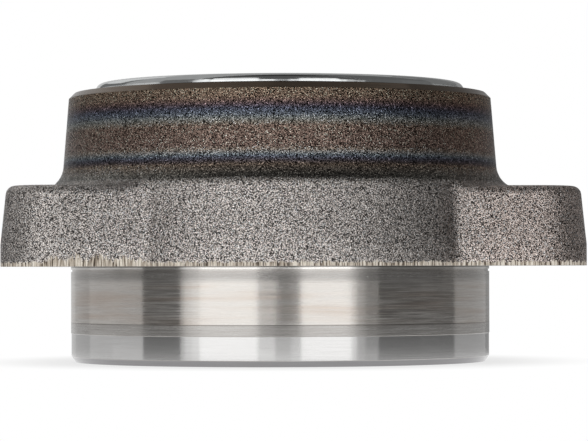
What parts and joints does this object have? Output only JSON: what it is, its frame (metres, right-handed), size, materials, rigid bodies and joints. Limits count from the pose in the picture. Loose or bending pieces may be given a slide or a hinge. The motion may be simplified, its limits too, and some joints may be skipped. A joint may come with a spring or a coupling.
{
  "type": "wheel hub bearing",
  "caption": "Flanged double-row wheel hub bearing with a three-lobed bolting flange, knuckle pilot and a bore for a press-in hub.",
  "frame": {"origin": "on the bearing axis, in the flange face that seats on the knuckle", "axes": "+Z along the bearing axis, outboard to the wheel; +Y through the first flange lobe"},
  "size_m": [0.1244, 0.1212, 0.061],
  "materials": {
    "forged_steel": "forged and shot-blasted, turned pilot and end faces",
    "bearing_steel": "ground",
    "ball_steel": "lapped",
    "sheet_steel": "pressed sheet",
    "stainless_sheet": "bright pressed sheet",
    "seal_rubber": "moulded",
    "encoder_rubber": "moulded, matt",
    "cage_polyamide": "moulded"
  },
  "bodies": {
    "outer": {"outer_ring": "forged_steel", "outboard_seal_case": "sheet_steel", "inboard_seal_case": "sheet_steel", "outboard_seal_rubber": "seal_rubber", "inboard_seal_rubber": "seal_rubber"},
    "inner": {"outboard_inner_ring": "bearing_steel", "inboard_inner_ring": "bearing_steel", "inner_ring_clip": "sheet_steel", "outboard_flinger": "stainless_sheet", "inboard_flinger": "stainless_sheet", "encoder_ring": "encoder_rubber"},
    "outboard_row": {"outboard_cage": "cage_polyamide", "outboard_ball_01": "ball_steel", "outboard_ball_02": "ball_steel", "outboard_ball_03": "ball_steel", "outboard_ball_04": "ball_steel", "outboard_ball_05": "ball_steel", "outboard_ball_06": "ball_steel", "outboard_ball_07": "ball_steel", "outboard_ball_08": "ball_steel", "outboard_ball_09": "ball_steel", "outboard_ball_10": "ball_steel", "outboard_ball_11": "ball_steel", "outboard_ball_12": "ball_steel", "outboard_ball_13": "ball_steel"},
    "inboard_row": {"inboard_cage": "cage_polyamide", "inboard_ball_01": "ball_steel", "inboard_ball_02": "ball_steel", "inboard_ball_03": "ball_steel", "inboard_ball_04": "ball_steel", "inboard_ball_05": "ball_steel", "inboard_ball_06": "ball_steel", "inboard_ball_07": "ball_steel", "inboard_ball_08": "ball_steel", "inboard_ball_09": "ball_steel", "inboard_ball_10": "ball_steel", "inboard_ball_11": "ball_steel", "inboard_ball_12": "ball_steel", "inboard_ball_13": "ball_steel"}
  },
  "joints": [
    {"name": "hub_spin", "type": "hinge", "parent": "outer", "child": "inner", "pos_m": [0, 0, 0], "axis": [0, 0, 1], "continuous": true},
    {"name": "outboard_row_orbit", "type": "hinge", "parent": "outer", "child": "outboard_row", "pos_m": [0, 0, 0.0264], "axis": [0, 0, 1], "continuous": true},
    {"name": "inboard_row_orbit", "type": "hinge", "parent": "outer", "child": "inboard_row", "pos_m": [0, 0, -0.0086], "axis": [0, 0, 1], "continuous": true}
  ],
  "couplings": [
    {"joint": "outboard_row_orbit", "follows": "hub_spin", "ratio": 0.421},
    {"joint": "inboard_row_orbit", "follows": "hub_spin", "ratio": 0.421}
  ]
}
